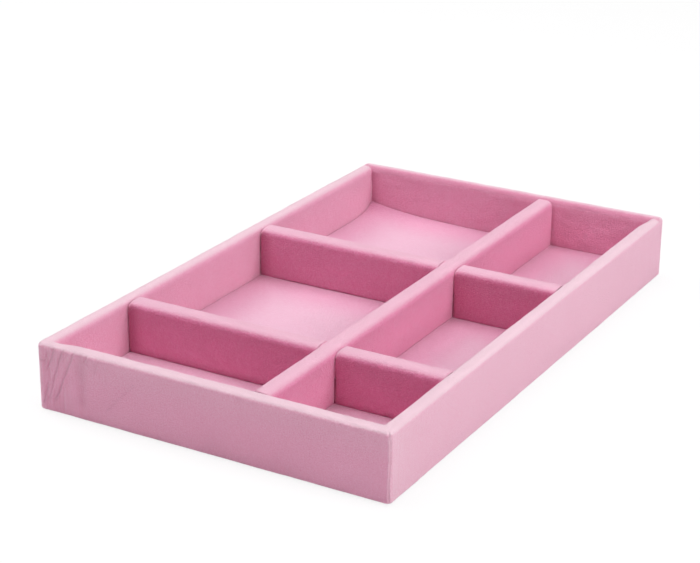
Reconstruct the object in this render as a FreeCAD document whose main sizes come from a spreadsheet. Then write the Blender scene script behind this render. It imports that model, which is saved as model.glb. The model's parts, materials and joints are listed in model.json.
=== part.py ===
import FreeCAD, Part
import os
import Sketcher

# Jewelry tray: a velvet-covered fibreboard tray with a lift-out grid of three velvet-covered dividers.
# The frame is +X to the right, +Y to the rear and +Z up, with the origin at the middle of the underside.

# Driving sizes, in millimetres, each with what it measures
SIZES = [
    ("tray_width", 180, "outside of the tray, left to right"),
    ("tray_length", 300, "outside of the tray, front to rear"),
    ("tray_height", 33, "from the underside to the top of the rim"),
    ("velvet", 0.75, "thickness of the velvet, pile and backing"),
    ("wall_board", 5, "thickness of the wall boards"),
    ("base_board", 3, "thickness of the base board"),
    ("rim_round", 2.4, "radius of the velvet over the rim's two edges"),
    ("corner_ease", 0.2, "how much wider than the rim the outer upright corners are rounded"),
    ("rebate_depth", 2.5, "how deep the end walls sit in the side walls"),
    ("turn_in", 12, "width of the velvet turned in under the base"),
    ("seam_gap", 0.4, "gap between the two ends of the wall velvet"),
    ("infill_gap", 0.5, "gap between the infill card and the turned-in velvet"),
    ("cover_sheet", 0.6, "thickness of the lining under the tray"),
    ("cover_margin", 3, "from the tray's outside to the edge of the lining"),
    ("floor_card", 2, "thickness of the floor pad's card"),
    ("pad_gap", 0.5, "gap between the floor pad and the walls"),
    ("pad_round", 0.6, "radius of the floor pad's top edge"),
    ("divider_board", 7.5, "thickness of the divider cores"),
    ("divider_drop", 0.4, "from the top of the rim down to the divider tops"),
    ("divider_end_gap", 0.4, "gap between a divider's end and the wall"),
    ("divider_round", 2.2, "radius of the velvet over a divider's edges"),
    ("bare_strip", 3, "width of the bare strip under a divider, between the velvet's edges"),
    ("lap_gap", 0.3, "play on each side where two dividers are halved together"),
    ("long_divider_x", 24.5, "middle of the long divider, right of the tray's middle"),
    ("front_cross_y", -86, "middle of the front cross divider, from the tray's middle"),
    ("rear_cross_y", 29.5, "middle of the rear cross divider, from the tray's middle"),
    ("pin_diameter", 1.2, "the headless pins"),
    ("corner_pin_length", 18, "pins through the side walls into the end walls"),
    ("corner_pin_low", 7, "lower corner pins, above the base board"),
    ("corner_pin_high", 20, "upper corner pins, above the base board"),
    ("base_pin_length", 14, "pins through the base board into the walls"),
    ("base_pin_inset", 45, "outer base pins, from the corners of the base board"),
]

doc = FreeCAD.newDocument("jewelry_tray")
sheet = doc.addObject("Spreadsheet::Sheet", "sizes")
for row, (alias, value, meaning) in enumerate(SIZES, start=1):
    sheet.set(f"A{row}", meaning)
    sheet.set(f"B{row}", str(value))
    sheet.setAlias(f"B{row}", alias)
doc.recompute()

# Levels, from the underside up
BASE_BOTTOM = "(sizes.cover_sheet + sizes.velvet)"
BASE_TOP = f"({BASE_BOTTOM} + sizes.base_board)"
CARD_TOP = f"({BASE_TOP} + sizes.floor_card)"
FLOOR = f"({CARD_TOP} + sizes.velvet)"
BOARD_TOP = "(sizes.tray_height - sizes.velvet)"
DIVIDER_TOP = "(sizes.tray_height - sizes.divider_drop)"
LAP = f"(({FLOOR} + {DIVIDER_TOP}) / 2)"

# Half widths and half lengths of the walls' faces, from the outside in
OUTER_X = "(sizes.tray_width / 2)"
OUTER_Y = "(sizes.tray_length / 2)"
BOARD_X = f"({OUTER_X} - sizes.velvet)"
BOARD_Y = f"({OUTER_Y} - sizes.velvet)"
BOARD_INNER_X = f"({BOARD_X} - sizes.wall_board)"
BOARD_INNER_Y = f"({BOARD_Y} - sizes.wall_board)"
INNER_X = f"({BOARD_INNER_X} - sizes.velvet)"
INNER_Y = f"({BOARD_INNER_Y} - sizes.velvet)"

# Roundings, each limited by the wall it runs on
SMALLEST_ROUND = "0.1"
RIM_ROUND = "min(sizes.rim_round; 0.48 * (sizes.wall_board + 2 * sizes.velvet))"
BOARD_ROUND = f"max({RIM_ROUND} - sizes.velvet; {SMALLEST_ROUND})"
CORNER_ROUND = f"({RIM_ROUND} + sizes.corner_ease)"
BOARD_CORNER_ROUND = f"({BOARD_ROUND} + sizes.corner_ease)"
DIVIDER_HALF = "(sizes.divider_board / 2 + sizes.velvet)"
DIVIDER_ROUND = f"min(sizes.divider_round; 0.9 * {DIVIDER_HALF})"
DIVIDER_BOARD_ROUND = f"max({DIVIDER_ROUND} - sizes.velvet; {SMALLEST_ROUND})"


def number(expression):
    """The value that an expression has now."""
    return float(sheet.evalExpression(expression))


def new_body(name):
    """An empty body."""
    return doc.addObject("PartDesign::Body", name)


def outline(body, name, plane_role, points, level=None):
    """A closed sketch of straight lines, with each corner held at its two expressions.

    It lies on one of the body's origin planes, raised along that plane's normal by level.
    """
    sketch = body.newObject("Sketcher::SketchObject", name)
    plane = next(f for f in body.Origin.OriginFeatures if f.Role == plane_role)
    sketch.AttachmentSupport = (plane, [""])
    sketch.MapMode = "FlatFace"
    if level:
        sketch.setExpression(".AttachmentOffset.Base.z", level)
    add_loop(sketch, points)
    return sketch


def add_loop(sketch, points):
    """Adds one closed loop of straight lines to a sketch."""
    first = sketch.GeometryCount
    count = len(points)
    places = [FreeCAD.Vector(number(x), number(y), 0) for x, y in points]
    for i in range(count):
        sketch.addGeometry(Part.LineSegment(places[i], places[(i + 1) % count]), False)
    for i in range(count):
        following = first + (i + 1) % count
        sketch.addConstraint(Sketcher.Constraint("Coincident", first + i, 2, following, 1))
    for i, (x, y) in enumerate(points):
        across = sketch.addConstraint(Sketcher.Constraint("DistanceX", -1, 1, first + i, 1, places[i].x))
        sketch.setExpression(f"Constraints[{across}]", x)
        along = sketch.addConstraint(Sketcher.Constraint("DistanceY", -1, 1, first + i, 1, places[i].y))
        sketch.setExpression(f"Constraints[{along}]", y)


def rectangle(left, right, low, high):
    """The four corners of a rectangle."""
    return [(left, low), (right, low), (right, high), (left, high)]


def centred(half_x, half_y):
    """The four corners of a rectangle about the origin."""
    return rectangle(f"-{half_x}", half_x, f"-{half_y}", half_y)


def pad(body, sketch, length, symmetric=False):
    """Thickens a sketch, upwards or evenly to both sides."""
    feature = body.newObject("PartDesign::Pad", "pad")
    feature.Profile = sketch
    feature.setExpression("Length", length)
    if symmetric:
        feature.SideType = "Symmetric"
    doc.recompute()
    return feature


def pocket(body, sketch, depth, towards_normal=False, symmetric=False):
    """Cuts a sketch into the body, against its plane's normal or along it, and checks that it cut."""
    before = body.Shape.Volume
    feature = body.newObject("PartDesign::Pocket", "pocket")
    feature.Profile = sketch
    feature.setExpression("Length", depth)
    feature.Reversed = towards_normal
    if symmetric:
        feature.SideType = "Symmetric"
    doc.recompute()
    if not body.Shape.Volume < before:
        raise RuntimeError(f"{body.Name}: a pocket cut nothing")
    return feature


def fillet(body, radius, wanted):
    """Rounds every edge of the body that the test picks by its middle and its direction."""
    base = body.Tip
    names = []
    for i, edge in enumerate(base.Shape.Edges, start=1):
        middle = edge.valueAt((edge.FirstParameter + edge.LastParameter) / 2)
        direction = edge.tangentAt(edge.FirstParameter)
        if wanted(middle, direction):
            names.append(f"Edge{i}")
    feature = body.newObject("PartDesign::Fillet", "fillet")
    feature.Base = (base, names)
    feature.setExpression("Radius", radius)
    doc.recompute()
    return feature


def upright(_middle, direction):
    """Picks the upright edges."""
    return abs(direction.z) > 0.99


def at_level(level):
    """A test that picks the edges lying at one level."""
    height = number(level)
    return lambda middle, direction: abs(middle.z - height) < 0.01 and abs(direction.z) < 0.01


def box(name, low, high):
    """A plain block between two corners given as expressions."""
    block = doc.addObject("Part::Box", name)
    sizes = zip(("Length", "Width", "Height"), low, high)
    for size, start, end in sizes:
        block.setExpression(size, f"{end} - ({start})")
    for axis, start in zip("xyz", low):
        block.setExpression(f".Placement.Base.{axis}", start)
    return block


def combine(kind, name, base, tool):
    """A cut or a common of two objects."""
    result = doc.addObject(f"Part::{kind}", name)
    result.Base = base
    result.Tool = tool
    return result


def fuse(name, pieces):
    """Several objects joined into one shape."""
    result = doc.addObject("Part::MultiFuse", name)
    result.Shapes = pieces
    return result


def group(name, pieces):
    """Several separate solids kept in one node."""
    result = doc.addObject("Part::Compound", name)
    result.Links = pieces
    return result


def pin(name, length, place, tilt):
    """A headless pin, starting at a place given as three expressions and turned from upright."""
    cylinder = doc.addObject("Part::Cylinder", name)
    cylinder.setExpression("Radius", "sizes.pin_diameter / 2")
    cylinder.setExpression("Height", length)
    cylinder.Placement.Rotation = tilt
    for axis, expression in zip("xyz", place):
        cylinder.setExpression(f".Placement.Base.{axis}", expression)
    return cylinder


# Pins
def make_corner_pins():
    """Two pins at each corner, driven from the side walls' outer faces into the end walls."""
    pins = []
    middle_y = f"({BOARD_Y} - sizes.wall_board / 2)"
    for side, inwards in (("left", 1), ("right", -1)):
        tilt = FreeCAD.Rotation(FreeCAD.Vector(0, 1, 0), 90 * inwards)
        start_x = f"-{inwards} * {BOARD_X}"
        for end, sign in (("front", "-"), ("rear", "")):
            for height in ("low", "high"):
                level = f"{BASE_TOP} + sizes.corner_pin_{height}"
                place = (start_x, f"{sign}{middle_y}", level)
                pins.append(pin(f"pin_{side}_{end}_{height}", "sizes.corner_pin_length", place, tilt))
    return group("corner_pins", pins)


def make_base_pins():
    """Pins driven up through the base board: three into each side wall, two into each end wall."""
    pins = []
    upwards = FreeCAD.Rotation()
    wall_x = f"({BOARD_X} - sizes.wall_board / 2)"
    wall_y = f"({BOARD_Y} - sizes.wall_board / 2)"
    outer_x = f"({BOARD_X} - sizes.base_pin_inset)"
    outer_y = f"({BOARD_Y} - sizes.base_pin_inset)"
    side_places = [(wall_x, f"-{outer_y}"), (wall_x, "0"), (wall_x, outer_y)]
    places = [(f"{sign}{x}", y) for sign in ("-", "") for x, y in side_places]
    places += [(x, f"{sign}{wall_y}") for sign in ("-", "") for x in (f"-{outer_x}", outer_x)]
    for i, (x, y) in enumerate(places, start=1):
        pins.append(pin(f"base_pin_{i}", "sizes.base_pin_length", (x, y, BASE_BOTTOM), upwards))
    return group("base_pins", pins)


# Tray frame
def make_base_blank():
    """The base board before it is pinned."""
    body = new_body("base_blank")
    sketch = outline(body, "base_outline", "XY_Plane", centred(BOARD_X, BOARD_Y), BASE_BOTTOM)
    pad(body, sketch, "sizes.base_board")
    fillet(body, BOARD_CORNER_ROUND, upright)
    return body


def make_frame_blank():
    """All four walls as one ring, with rounded top edges and outer corners."""
    body = new_body("frame_blank")
    sketch = outline(body, "frame_outline", "XY_Plane", centred(BOARD_X, BOARD_Y), BASE_TOP)
    pad(body, sketch, f"{BOARD_TOP} - {BASE_TOP}")
    fillet(body, BOARD_CORNER_ROUND, upright)
    inside = outline(body, "frame_inside", "XY_Plane", centred(BOARD_INNER_X, BOARD_INNER_Y), BOARD_TOP)
    pocket(body, inside, f"{BOARD_TOP} - {BASE_TOP}")
    fillet(body, BOARD_ROUND, at_level(BOARD_TOP))
    return body


def make_walls(frame_blank, pins):
    """Cuts the ring into four boards: the end walls sit in rebates in the side walls."""
    rebate_x = f"({BOARD_INNER_X} + sizes.rebate_depth)"
    low = BASE_TOP
    high = BOARD_TOP
    front_block = box("front_block", (f"-{rebate_x}", f"-{BOARD_Y}", low), (rebate_x, f"-{BOARD_INNER_Y}", high))
    rear_block = box("rear_block", (f"-{rebate_x}", BOARD_INNER_Y, low), (rebate_x, BOARD_Y, high))
    left_block = box("left_block", (f"-{BOARD_X}", f"-{BOARD_Y}", low), (f"-{BOARD_INNER_X}", BOARD_Y, high))
    right_block = box("right_block", (BOARD_INNER_X, f"-{BOARD_Y}", low), (BOARD_X, BOARD_Y, high))
    end_blocks = fuse("end_blocks", [front_block, rear_block])
    walls = []
    for side, block in (("front", front_block), ("rear", rear_block)):
        blank = combine("Common", f"{side}_wall_blank", frame_blank, block)
        walls.append(combine("Cut", f"{side}_wall_board", blank, pins))
    for side, block in (("left", left_block), ("right", right_block)):
        strip = combine("Common", f"{side}_wall_strip", frame_blank, block)
        blank = combine("Cut", f"{side}_wall_blank", strip, end_blocks)
        walls.append(combine("Cut", f"{side}_wall_board", blank, pins))
    return walls


# Coverings of the tray
def make_wall_velvet(base_blank, frame_blank):
    """One strip of velvet up the inside of the walls, over the rim, down the outside and under the base."""
    body = new_body("velvet_form")
    sketch = outline(body, "velvet_outline", "XY_Plane", centred(OUTER_X, OUTER_Y), "sizes.cover_sheet")
    pad(body, sketch, "sizes.tray_height - sizes.cover_sheet")
    fillet(body, CORNER_ROUND, upright)
    inside = outline(body, "velvet_inside", "XY_Plane", centred(INNER_X, INNER_Y), "sizes.tray_height")
    pocket(body, inside, f"sizes.tray_height - {BASE_TOP}")
    opening_x = f"({BOARD_X} - sizes.turn_in)"
    opening_y = f"({BOARD_Y} - sizes.turn_in)"
    opening = outline(body, "turn_in_edge", "XY_Plane", centred(opening_x, opening_y), "sizes.cover_sheet")
    pocket(body, opening, "sizes.velvet", towards_normal=True)
    fillet(body, RIM_ROUND, at_level("sizes.tray_height"))
    boards = fuse("boards", [base_blank, frame_blank])
    ring = combine("Cut", "velvet_ring", body, boards)
    return combine("Cut", "wall_velvet", ring, make_seam_knife())


def make_seam_knife():
    """The thin upright block that parts the velvet's two ends, across the front right corner."""
    knife = doc.addObject("Part::Box", "seam_knife")
    overshoot = "1.5 * (sizes.velvet + sizes.wall_board)"
    knife.setExpression("Length", f"{overshoot} + 1.5 * (sizes.velvet + sizes.turn_in)")
    knife.setExpression("Width", "sizes.seam_gap")
    knife.setExpression("Height", "sizes.tray_height")
    knife.Placement.Rotation = FreeCAD.Rotation(FreeCAD.Vector(0, 0, 1), 135)
    lead = f"cos(45 deg) * ({overshoot})"
    shift = "cos(45 deg) * sizes.seam_gap / 2"
    knife.setExpression(".Placement.Base.x", f"{OUTER_X} + {lead} + {shift}")
    knife.setExpression(".Placement.Base.y", f"-{OUTER_Y} - {lead} + {shift}")
    return knife


def make_underside_infill():
    """The card that fills the space between the turned-in edges of the velvet."""
    body = new_body("underside_infill")
    half_x = f"({BOARD_X} - sizes.turn_in - sizes.infill_gap)"
    half_y = f"({BOARD_Y} - sizes.turn_in - sizes.infill_gap)"
    sketch = outline(body, "infill_outline", "XY_Plane", centred(half_x, half_y), "sizes.cover_sheet")
    pad(body, sketch, "sizes.velvet")
    return body


def make_underside_cover():
    """The lining sheet that the tray stands on."""
    body = new_body("underside_cover")
    half_x = f"({OUTER_X} - sizes.cover_margin)"
    half_y = f"({OUTER_Y} - sizes.cover_margin)"
    sketch = outline(body, "cover_outline", "XY_Plane", centred(half_x, half_y))
    pad(body, sketch, "sizes.cover_sheet")
    fillet(body, "sizes.cover_margin", upright)
    return body


def make_floor_card():
    """The card that stiffens the floor pad."""
    body = new_body("floor_card")
    half_x = f"({INNER_X} - sizes.pad_gap - sizes.velvet)"
    half_y = f"({INNER_Y} - sizes.pad_gap - sizes.velvet)"
    sketch = outline(body, "card_outline", "XY_Plane", centred(half_x, half_y), BASE_TOP)
    pad(body, sketch, "sizes.floor_card")
    return body


def make_floor_velvet(card):
    """The velvet over the floor card's top and edges."""
    body = new_body("pad_form")
    half_x = f"({INNER_X} - sizes.pad_gap)"
    half_y = f"({INNER_Y} - sizes.pad_gap)"
    sketch = outline(body, "pad_outline", "XY_Plane", centred(half_x, half_y), BASE_TOP)
    pad(body, sketch, "sizes.floor_card + sizes.velvet")
    fillet(body, "min(sizes.pad_round; 0.9 * sizes.velvet)", at_level(FLOOR))
    return combine("Cut", "floor_velvet", body, card)


# Dividers
def divider_block(name, plane, half_length, inset, radius, notches):
    """A rounded block in its own middle plane, with its notches cut across it.

    Inset is how far every face lies inside the velvet's outside. Each notch is left, right, low, high.
    """
    body = new_body(name)
    low = f"({FLOOR} + {inset})"
    high = f"({DIVIDER_TOP} - {inset})"
    reach = f"({half_length} - {inset})"
    thickness = f"2 * ({DIVIDER_HALF} - {inset})"
    sketch = outline(body, f"{name}_side", plane, rectangle(f"-{reach}", reach, low, high))
    pad(body, sketch, thickness, symmetric=True)
    fillet(body, radius, lambda middle, direction: True)
    cuts = outline(body, f"{name}_notches", plane, rectangle(*notches[0]))
    for notch in notches[1:]:
        add_loop(cuts, rectangle(*notch))
    pocket(body, cuts, f"2 * {thickness}", symmetric=True)
    return body


def notch_at(middle, inset, upwards):
    """One halving notch, open at the top or at the bottom, as left, right, low, high."""
    half = f"({DIVIDER_HALF} + sizes.lap_gap + {inset})"
    left = f"{middle} - {half}"
    right = f"{middle} + {half}"
    if upwards:
        return left, right, f"{LAP} - sizes.lap_gap / 2 - {inset}", "sizes.tray_height"
    return left, right, BASE_TOP, f"{LAP} + sizes.lap_gap / 2 + {inset}"


def make_divider(name, plane, half_length, middles, upwards, shift=None):
    """A divider's core and its velvet, notched at the given places and shifted along Y if asked."""
    pieces = []
    for part, inset, radius in (("board", "sizes.velvet", DIVIDER_BOARD_ROUND), ("form", "0", DIVIDER_ROUND)):
        notches = [notch_at(middle, inset, upwards) for middle in middles]
        pieces.append(divider_block(f"{name}_{part}", plane, half_length, inset, radius, notches))
    board, form = pieces
    half_strip = "(sizes.bare_strip / 2)"
    if plane == "XZ_Plane":
        corners = centred(half_length, half_strip)
    else:
        corners = centred(half_strip, half_length)
    strip = outline(form, f"{name}_bare_strip", "XY_Plane", corners, FLOOR)
    pocket(form, strip, "sizes.velvet", towards_normal=True)
    if shift:
        axis, expression = shift
        for piece in pieces:
            piece.setExpression(f".Placement.Base.{axis}", expression)
    return [board, combine("Cut", f"{name}_velvet", form, board)]


def make_long_divider():
    """The front-to-back divider, notched from below so that its top runs on over both crossings."""
    reach = f"({INNER_Y} - sizes.divider_end_gap)"
    middles = ["sizes.front_cross_y", "sizes.rear_cross_y"]
    return make_divider("long_divider", "YZ_Plane", reach, middles, False, ("x", "sizes.long_divider_x"))


def make_cross_dividers():
    """The two side-to-side dividers, notched from above."""
    reach = f"({INNER_X} - sizes.divider_end_gap)"
    pieces = []
    for place in ("front", "rear"):
        shift = ("y", f"sizes.{place}_cross_y")
        pieces += make_divider(f"{place}_cross", "XZ_Plane", reach, ["sizes.long_divider_x"], True, shift)
    return pieces


def make_tray():
    """Every piece of the tray and its dividers."""
    corner_pins = make_corner_pins()
    base_pins = make_base_pins()
    pins = fuse("all_pins", corner_pins.Links + base_pins.Links)
    base_blank = make_base_blank()
    frame_blank = make_frame_blank()
    card = make_floor_card()
    pieces = [corner_pins, base_pins]
    pieces.append(combine("Cut", "base_board", base_blank, pins))
    pieces += make_walls(frame_blank, pins)
    pieces.append(make_wall_velvet(base_blank, frame_blank))
    pieces += [make_underside_infill(), make_underside_cover(), card, make_floor_velvet(card)]
    pieces += make_long_divider()
    pieces += make_cross_dividers()
    return pieces


def check(pieces):
    """Stops if any object failed, or if a piece has no sound solid."""
    for thing in doc.Objects:
        if "Invalid" in thing.State or "Error" in thing.State:
            raise RuntimeError(f"{thing.Name} failed: {thing.State}")
    for piece in pieces:
        if piece.Shape.isNull() or not piece.Shape.isValid() or not piece.Shape.Solids:
            raise RuntimeError(f"{piece.Label} has no sound solid")


def main():
    """Builds the tray, checks it and writes one file for each piece."""
    pieces = make_tray()
    doc.recompute()
    check(pieces)
    os.makedirs("parts", exist_ok=True)
    for piece in pieces:
        piece.Shape.exportStep(f"parts/{piece.Label}.step")
        print(f"{piece.Label}: {len(piece.Shape.Solids)} solid(s), {piece.Shape.Volume:.1f} cubic mm")


main()
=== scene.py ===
import json
import math
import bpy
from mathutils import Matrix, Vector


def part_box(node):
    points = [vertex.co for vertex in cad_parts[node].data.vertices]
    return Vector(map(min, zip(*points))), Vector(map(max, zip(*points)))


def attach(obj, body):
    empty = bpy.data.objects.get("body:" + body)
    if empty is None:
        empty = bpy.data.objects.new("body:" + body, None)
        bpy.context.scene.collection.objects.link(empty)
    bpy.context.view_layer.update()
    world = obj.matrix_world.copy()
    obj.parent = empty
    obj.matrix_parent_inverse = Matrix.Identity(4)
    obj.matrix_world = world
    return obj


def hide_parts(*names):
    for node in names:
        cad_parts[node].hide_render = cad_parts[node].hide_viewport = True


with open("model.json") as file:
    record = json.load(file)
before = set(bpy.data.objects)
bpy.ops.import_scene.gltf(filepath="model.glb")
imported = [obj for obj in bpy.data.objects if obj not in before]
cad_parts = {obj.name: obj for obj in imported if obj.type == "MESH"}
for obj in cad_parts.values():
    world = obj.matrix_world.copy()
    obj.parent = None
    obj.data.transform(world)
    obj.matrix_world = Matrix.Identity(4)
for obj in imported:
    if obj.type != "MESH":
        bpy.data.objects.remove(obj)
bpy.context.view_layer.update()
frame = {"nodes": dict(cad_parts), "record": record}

from types import SimpleNamespace

import bpy
import numpy as np
from bpy.props import FloatProperty, FloatVectorProperty, IntProperty, PointerProperty
from mathutils import Matrix, Vector, noise

bl_info = {
    "name": "Velvet jewelry tray",
    "version": (1, 0, 0),
    "blender": (4, 5, 0),
    "location": "View3D > Sidebar > Tray",
    "description": "Dresses the boards of a jewelry tray in velvet and lights it on a pale floor",
    "category": "Object",
}

MM = 0.001

# Shapes are worked out in millimetres and turned to metres when a mesh is made.


def node_box(node):
    """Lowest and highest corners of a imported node, in millimetres."""
    low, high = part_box(node)
    return np.array(low) / MM, np.array(high) / MM


WALL_LOW, WALL_HIGH = node_box("wall_velvet")
FLOOR_LOW, FLOOR_HIGH = node_box("floor_velvet")
LINING_LOW, LINING_HIGH = node_box("underside_cover")
BASE_TOP = node_box("base_board")[1][2]
INNER_FACE = node_box("right_wall_board")[0][0]
REAR_FACE = node_box("rear_wall_board")[0][1]


def linear(hex_code):
    """An sRGB hex colour as linear red, green, blue and alpha."""
    channels = [int(hex_code[i:i + 2], 16) / 255 for i in (1, 3, 5)]
    return tuple(c / 12.92 if c <= 0.04045 else ((c + 0.055) / 1.055) ** 2.4 for c in channels) + (1.0,)


def size(name, description, millimetres):
    """A length that a user can change."""
    return FloatProperty(name=name, description=description, default=millimetres * MM, min=0.0,
                         unit="LENGTH", precision=5)


def colour(name, description, hex_code):
    """A colour that a user can change."""
    return FloatVectorProperty(name=name, description=description, default=linear(hex_code), size=4,
                               min=0.0, max=1.0, subtype="COLOR")


class TraySizes(bpy.types.PropertyGroup):
    """Sizes of the velvet over the boards."""

    velvet: size("Velvet", "Thickness of the velvet, backing and pile together", 0.75)
    rim_round: size("Rim round", "Radius of the velvet over the outer edge of the rim", 2.1)
    rim_inner: size("Rim inner", "Radius of the velvet over the inner edge of the left and rear rims", 3.6)
    rim_tight: size("Rim tight", "Radius over the inner edge of the front and right rims", 1.1)
    corner_round: size("Corner round", "Radius of the upright outer corners", 2.6)
    foot_round: size("Foot round", "Radius of the velvet where it turns under the base", 1.0)
    turn_in: size("Turn-in", "Width of velvet turned under the base", 12.0)
    seam_gap: size("Seam gap", "Gap between the two ends of the wall strip", 0.12)
    seam_ridge: size("Seam ridge", "Height of the folded end of the wall strip", 0.35)
    seam_wander: size("Seam wander", "How far the seam strays to each side of the corner", 0.21)
    divider_crown: size("Divider crown", "Radius over a divider's front or right top edge", 3.6)
    divider_back: size("Divider back", "Width of the rounding of a divider's rear or left top edge", 1.3)
    divider_rise: size("Divider rise", "How far the pile stands up over a divider's top", 0.25)
    divider_round: size("Divider round", "Radius of the velvet at the rear end of the long divider", 1.0)
    end_round: size("End round", "Depth of the rounding at a divider end that stands against a wall", 0.25)
    end_reach: size("End reach", "How far the pile at such an end stands out towards the wall", 0.2)
    divider_foot: size("Divider foot", "Height of the rounding where the velvet turns under a divider", 0.8)
    divider_tuck: size("Divider tuck", "How far the velvet draws in where it turns under a divider", 0.8)
    notch_round: size("Notch round", "Depth of the rounding at the right cut end beside a notch", 0.15)
    notch_edge: size("Notch edge", "Depth of the rounding at the left cut end, nearly square", 0.08)
    notch_play: size("Notch play", "Gap between the pile of a divider and the notch that it sits in", 0.06)
    end_drop: size("End drop", "Radius of the left top corner of each part of a cross divider", 2.2)
    parting_depth: size("Parting depth", "Depth of the line that the long divider presses in", 0.6)
    bare_strip: size("Bare strip", "Width left uncovered under a divider", 3.0)
    pad_round: size("Pad round", "Radius of the edges of the floor pad", 0.5)
    pad_reach: size("Pad reach", "How far the pile at the floor's edges stands out towards the walls", 0.2)
    corner_curl: size("Corner curl", "Lift of the floor velvet in the left rear corner", 4.2)
    nap: size("Nap", "Depth of the unevenness of the brushed pile", 0.09)
    fibre_length: size("Fibre length", "Length of the loose fibres on edges", 0.45)
    fibre_width: size("Fibre width", "Width of one loose fibre at its root", 0.03)
    fibre_density: FloatProperty(
        name="Fibre density", description="Loose fibres per square millimetre of edge", default=6.0, min=0.0)
    fibre_seed: IntProperty(
        name="Fibre seed", description="Seed for the places of the loose fibres", default=7)


class TrayColours(bpy.types.PropertyGroup):
    """Colours of the velvet and of the boards under it."""

    wall_velvet: colour("Wall velvet", "Velvet round the walls", "#F7ABCA")
    floor_velvet: colour("Floor velvet", "Velvet of the floor pad", "#EFA3C6")
    divider_velvet: colour("Divider velvet", "Velvet round the dividers", "#F28CB7")
    # The three pale colours below are painted: painted sheen on the walls and the dividers, which the loose
    # fibres wear as well, and painted light on the floor.
    wall_sheen_colour: colour("Wall tips", "Paler tips of the pile where it opens over the rim", "#F3DAE3")
    divider_sheen_colour: colour("Divider tips", "Paler tips of the pile where it opens over a divider", "#F1C5D7")
    floor_light_colour: colour("Floor tips", "Paler tips of the pile where the floor is rubbed", "#FBDFEE")
    lining: colour("Lining", "Felted lining under the base", "#D59BB0")
    fibreboard: colour("Fibreboard", "Raw board of base and walls", "#B08E68")
    divider_core: colour("Divider core", "Raw board inside the dividers", "#B59168")
    card: colour("Card", "Grey card under the floor and the base", "#A9A59D")
    steel: colour("Steel", "Drawn wire of the pins", "#C4C5C8")
    paper: colour("Paper", "Pale paper that the tray stands on", "#F4F3F4")


def sizes_in_mm(context):
    """The sizes that a user can change, in millimetres."""
    group = context.scene.tray_sizes
    names = [n for n in TraySizes.__annotations__ if n not in ("fibre_density", "fibre_seed")]
    return SimpleNamespace(**{n: getattr(group, n) / MM for n in names})


# Nodes and materials

# Sockets of the node that mixes colours: the share of the second colour, both colours, and the result.
MIX_SHARE, MIX_FIRST, MIX_SECOND, MIX_RESULT = 0, 6, 7, 2


def add_node(tree, kind, inputs=None, **settings):
    """Adds a node, sets its properties, and gives each input a plain value or a link from a socket."""
    node = tree.nodes.new(kind)
    for name, value in settings.items():
        setattr(node, name, value)
    for name, value in (inputs or {}).items():
        if isinstance(value, bpy.types.NodeSocket):
            tree.links.new(value, node.inputs[name])
        else:
            node.inputs[name].default_value = value
    return node


def maths(tree, operation, *terms, **settings):
    """The result of a maths node whose terms are numbers or sockets."""
    node = add_node(tree, "ShaderNodeMath", dict(enumerate(terms)), operation=operation, **settings)
    return node.outputs[0]


def map_range(tree, value, start, end, low=0.0, high=1.0):
    """A value moved from one range to another and held inside it."""
    inputs = {"Value": value, "From Min": start, "From Max": end, "To Min": low, "To Max": high}
    return add_node(tree, "ShaderNodeMapRange", inputs).outputs[0]


def mixed_colour(tree, share, first, second):
    """A colour between two others, by the share of the second."""
    inputs = {MIX_SHARE: share, MIX_FIRST: first, MIX_SECOND: second}
    return add_node(tree, "ShaderNodeMix", inputs, data_type="RGBA").outputs[MIX_RESULT]


def noise_pattern(tree, place, feature, **values):
    """Noise from about 0 to 1, with features of the given size in millimetres."""
    inputs = {"Vector": place, "Scale": 1 / (feature * MM), **values}
    return add_node(tree, "ShaderNodeTexNoise", inputs).outputs[0]


def attribute(tree, name):
    """A value that the mesh gives at each point."""
    return add_node(tree, "ShaderNodeAttribute", attribute_name=name).outputs["Fac"]


def start_material(name, **values):
    """A material with one Principled shader, whose plain values are given by socket name.

    Gives the material, its node tree, its shader and the object's own coordinates.
    """
    material = bpy.data.materials.new(name)
    material.use_nodes = True
    tree = material.node_tree
    tree.nodes.clear()
    inputs = {key.replace("_", " "): value for key, value in values.items()}
    shader = add_node(tree, "ShaderNodeBsdfPrincipled", inputs)
    add_node(tree, "ShaderNodeOutputMaterial", {"Surface": shader.outputs[0]})
    place = add_node(tree, "ShaderNodeTexCoord").outputs["Object"]
    return material, tree, shader, place


def raise_grain(tree, shader, height, strength, depth):
    """Lets a pattern catch the light as relief of the given depth in millimetres."""
    bump = add_node(tree, "ShaderNodeBump", {"Height": height, "Strength": strength, "Distance": depth * MM})
    tree.links.new(bump.outputs[0], shader.inputs["Normal"])


def shaded(base, factor):
    """A colour made darker or lighter, with its alpha kept."""
    return tuple(min(1.0, c * factor) for c in base[:3]) + (1.0,)


def dyed(base, depth):
    """A colour with more dye in it, or with less where the depth is below zero."""
    return tuple(c * (1 - depth * (1 - c)) for c in base[:3]) + (1.0,)


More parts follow.
